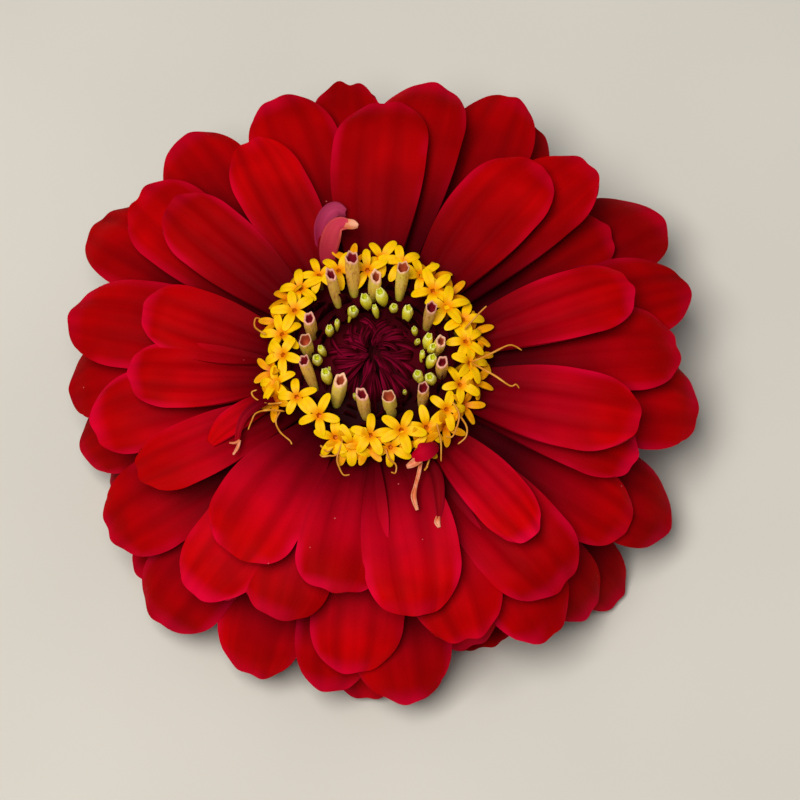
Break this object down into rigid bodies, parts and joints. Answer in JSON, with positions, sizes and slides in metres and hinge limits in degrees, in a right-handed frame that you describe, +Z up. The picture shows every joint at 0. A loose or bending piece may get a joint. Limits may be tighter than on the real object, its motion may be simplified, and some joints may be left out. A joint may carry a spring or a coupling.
{
  "type": "zinnia flower",
  "caption": "Double red zinnia bloom as picked, lying face up on its drooping lower petals, with a ring of yellow star florets, green buds, a maroon centre and a green cup of bracts.",
  "frame": {"origin": "on the table, under the middle of the bloom's spread", "axes": "+Z up, along the flower's own axis; -Y is the near side that the camera looks from, +X to its right"},
  "size_m": [0.0802, 0.08, 0.0314],
  "materials": {
    "stalk_green": "satin, faintly hairy",
    "bract_green": "matte, dark-edged",
    "ray_red": "velvety",
    "floret_yellow": "satin",
    "bud_green": "satin",
    "chaff_maroon": "matte, papery"
  },
  "bodies": {
    "root": {"stalk": "stalk_green", "involucre": "bract_green", "ray_florets": "ray_red", "open_disc_florets": "floret_yellow", "bud_florets": "bud_green", "chaff_crown": "chaff_maroon"}
  },
  "joints": []
}
